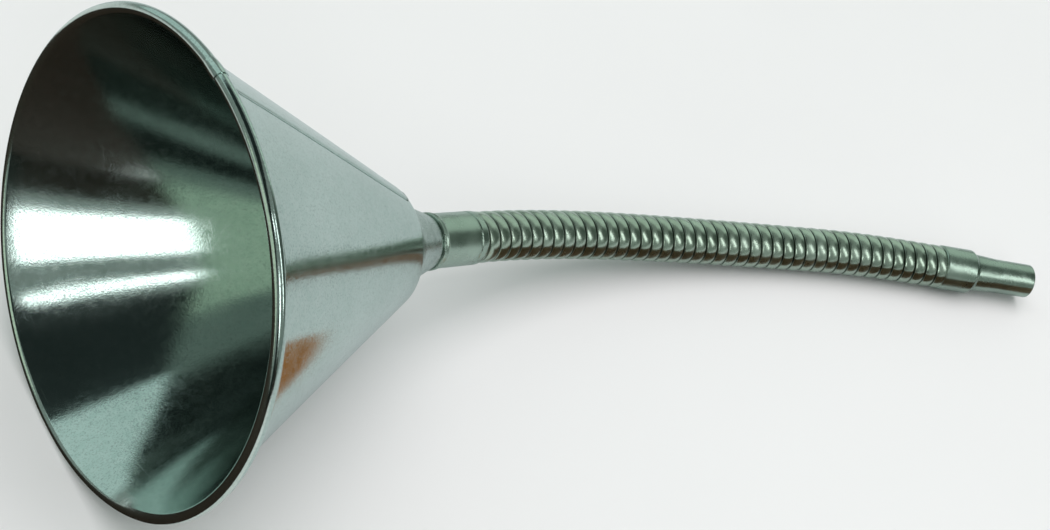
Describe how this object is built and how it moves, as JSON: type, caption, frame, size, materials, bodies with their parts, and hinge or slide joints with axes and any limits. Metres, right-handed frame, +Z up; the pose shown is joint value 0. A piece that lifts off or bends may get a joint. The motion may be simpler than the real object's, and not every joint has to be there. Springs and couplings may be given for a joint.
{
  "type": "fuel funnel",
  "caption": "Sheet-metal fuel funnel with a wired, rolled rim, a conical bowl, a soldered neck and a flexible metal spout that ends in a narrow nozzle",
  "frame": {"origin": "on the floor, under the middle of the whole object's footprint as it lies at rest", "axes": "+Z up; +X from the bowl's mouth towards the nozzle, level, along the bowl's axis seen from above; the spout swings towards -Y"},
  "size_m": [0.4348, 0.1894, 0.1535],
  "materials": {
    "sheet_steel": "satin",
    "wire": "satin",
    "ferrule_steel": "satin",
    "spout_steel": "satin",
    "packing": "matte"
  },
  "bodies": {
    "bowl": {"funnel_bowl": "sheet_steel", "rim_wire": "wire", "neck_cone": "sheet_steel", "spout_collar": "ferrule_steel", "hose_root": "spout_steel"},
    "packing_01": {"hose_packing_01": "packing"},
    "section_01": {"hose_section_01": "spout_steel"},
    "packing_02": {"hose_packing_02": "packing"},
    "section_02": {"hose_section_02": "spout_steel"},
    "packing_03": {"hose_packing_03": "packing"},
    "section_03": {"hose_section_03": "spout_steel"},
    "packing_04": {"hose_packing_04": "packing"},
    "section_04": {"hose_section_04": "spout_steel"},
    "packing_05": {"hose_packing_05": "packing"},
    "section_05": {"hose_section_05": "spout_steel"},
    "packing_06": {"hose_packing_06": "packing"},
    "section_06": {"hose_section_06": "spout_steel"},
    "packing_07": {"hose_packing_07": "packing"},
    "section_07": {"hose_section_07": "spout_steel"},
    "packing_08": {"hose_packing_08": "packing"},
    "section_08": {"hose_section_08": "spout_steel"},
    "packing_09": {"hose_packing_09": "packing"},
    "section_09": {"hose_section_09": "spout_steel"},
    "packing_10": {"hose_packing_10": "packing"},
    "section_10": {"hose_section_10": "spout_steel"},
    "packing_11": {"hose_packing_11": "packing"},
    "section_11": {"hose_section_11": "spout_steel"},
    "packing_12": {"hose_packing_12": "packing"},
    "section_12": {"hose_section_12": "spout_steel"},
    "packing_13": {"hose_packing_13": "packing"},
    "section_13": {"hose_section_13": "spout_steel"},
    "packing_14": {"hose_packing_14": "packing"},
    "tip": {"hose_end": "spout_steel", "tip_nozzle": "ferrule_steel"}
  },
  "joints": [
    {"name": "side_01", "type": "hinge", "parent": "bowl", "child": "packing_01", "pos_m": [-0.04577, 0.01475, 0.0327], "axis": [0.2725, -0.0093, 0.9621], "range_deg": [-7.11, 14.89]},
    {"name": "lift_01", "type": "hinge", "parent": "packing_01", "child": "section_01", "pos_m": [-0.04577, 0.01475, 0.0327], "axis": [-0.0341, -0.9994, 0], "range_deg": [-12.66, 9.34]},
    {"name": "side_02", "type": "hinge", "parent": "section_01", "child": "packing_02", "pos_m": [-0.029, 0.01361, 0.02821], "axis": [0.2433, -0.0243, 0.9696], "range_deg": [-7.37, 14.63]},
    {"name": "lift_02", "type": "hinge", "parent": "packing_02", "child": "section_02", "pos_m": [-0.029, 0.01361, 0.02821], "axis": [-0.0995, -0.995, 0], "range_deg": [-12.66, 9.34]},
    {"name": "side_03", "type": "hinge", "parent": "section_02", "child": "packing_03", "pos_m": [-0.01222, 0.01139, 0.0242], "axis": [0.2135, -0.0344, 0.9763], "range_deg": [-7.72, 14.28]},
    {"name": "lift_03", "type": "hinge", "parent": "packing_03", "child": "section_03", "pos_m": [-0.01222, 0.01139, 0.0242], "axis": [-0.1592, -0.9872, 0], "range_deg": [-12.66, 9.34]},
    {"name": "side_04", "type": "hinge", "parent": "section_03", "child": "packing_04", "pos_m": [0.00452, 0.0082, 0.02068], "axis": [0.1835, -0.0398, 0.9822], "range_deg": [-8.12, 13.88]},
    {"name": "lift_04", "type": "hinge", "parent": "packing_04", "child": "section_04", "pos_m": [0.00452, 0.0082, 0.02068], "axis": [-0.212, -0.9773, 0], "range_deg": [-12.66, 9.34]},
    {"name": "side_05", "type": "hinge", "parent": "section_04", "child": "packing_05", "pos_m": [0.02117, 0.00415, 0.01767], "axis": [0.1538, -0.041, 0.9873], "range_deg": [-8.53, 13.47]},
    {"name": "lift_05", "type": "hinge", "parent": "packing_05", "child": "section_05", "pos_m": [0.02117, 0.00415, 0.01767], "axis": [-0.2573, -0.9663, 0], "range_deg": [-12.66, 9.34]},
    {"name": "side_06", "type": "hinge", "parent": "section_05", "child": "packing_06", "pos_m": [0.03771, -0.00064, 0.01515], "axis": [0.1245, -0.0386, 0.9915], "range_deg": [-8.88, 13.12]},
    {"name": "lift_06", "type": "hinge", "parent": "packing_06", "child": "section_06", "pos_m": [0.03771, -0.00064, 0.01515], "axis": [-0.2959, -0.9552, 0], "range_deg": [-12.66, 9.34]},
    {"name": "side_07", "type": "hinge", "parent": "section_06", "child": "packing_07", "pos_m": [0.05412, -0.00605, 0.01313], "axis": [0.0959, -0.0334, 0.9948], "range_deg": [-9.14, 12.86]},
    {"name": "lift_07", "type": "hinge", "parent": "packing_07", "child": "section_07", "pos_m": [0.05412, -0.00605, 0.01313], "axis": [-0.3289, -0.9444, 0], "range_deg": [-12.66, 9.34]},
    {"name": "side_08", "type": "hinge", "parent": "section_07", "child": "packing_08", "pos_m": [0.0704, -0.01202, 0.01162], "axis": [0.0678, -0.026, 0.9974], "range_deg": [-9.29, 12.71]},
    {"name": "lift_08", "type": "hinge", "parent": "packing_08", "child": "section_08", "pos_m": [0.0704, -0.01202, 0.01162], "axis": [-0.3582, -0.9337, 0], "range_deg": [-12.66, 9.34]},
    {"name": "side_09", "type": "hinge", "parent": "section_08", "child": "packing_09", "pos_m": [0.08652, -0.01848, 0.0106], "axis": [0.0402, -0.0168, 0.9991], "range_deg": [-9.32, 12.68]},
    {"name": "lift_09", "type": "hinge", "parent": "packing_09", "child": "section_09", "pos_m": [0.08652, -0.01848, 0.0106], "axis": [-0.3856, -0.9227, 0], "range_deg": [-12.66, 9.34]},
    {"name": "side_10", "type": "hinge", "parent": "section_09", "child": "packing_10", "pos_m": [0.10247, -0.02542, 0.0101], "axis": [0.0117, -0.0053, 0.9999], "range_deg": [-9.27, 12.73]},
    {"name": "lift_10", "type": "hinge", "parent": "packing_10", "child": "section_10", "pos_m": [0.10247, -0.02542, 0.0101], "axis": [-0.4129, -0.9108, 0], "range_deg": [-12.86, 9.14]},
    {"name": "side_11", "type": "hinge", "parent": "section_10", "child": "packing_11", "pos_m": [0.11821, -0.03285, 0.01016], "axis": [-0.0031, 0.0015, 1], "range_deg": [-9.16, 12.84]},
    {"name": "lift_11", "type": "hinge", "parent": "packing_11", "child": "section_11", "pos_m": [0.11821, -0.03285, 0.01016], "axis": [-0.4411, -0.8975, 0], "range_deg": [-11, 11]},
    {"name": "side_12", "type": "hinge", "parent": "section_11", "child": "packing_12", "pos_m": [0.1337, -0.04077, 0.01022], "axis": [-0.003, 0.0016, 1], "range_deg": [-9.06, 12.94]},
    {"name": "lift_12", "type": "hinge", "parent": "packing_12", "child": "section_12", "pos_m": [0.1337, -0.04077, 0.01022], "axis": [-0.4705, -0.8824, 0], "range_deg": [-11, 11]},
    {"name": "side_13", "type": "hinge", "parent": "section_12", "child": "packing_13", "pos_m": [0.14891, -0.04922, 0.01028], "axis": [-0.003, 0.0017, 1], "range_deg": [-9, 13]},
    {"name": "lift_13", "type": "hinge", "parent": "packing_13", "child": "section_13", "pos_m": [0.14891, -0.04922, 0.01028], "axis": [-0.5006, -0.8657, 0], "range_deg": [-11, 11]},
    {"name": "side_14", "type": "hinge", "parent": "section_13", "child": "packing_14", "pos_m": [0.16382, -0.05819, 0.01034], "axis": [-0.003, 0.0018, 1], "range_deg": [-11, 11]},
    {"name": "lift_14", "type": "hinge", "parent": "packing_14", "child": "tip", "pos_m": [0.16382, -0.05819, 0.01034], "axis": [-0.5156, -0.8568, 0], "range_deg": [-11, 11]}
  ]
}
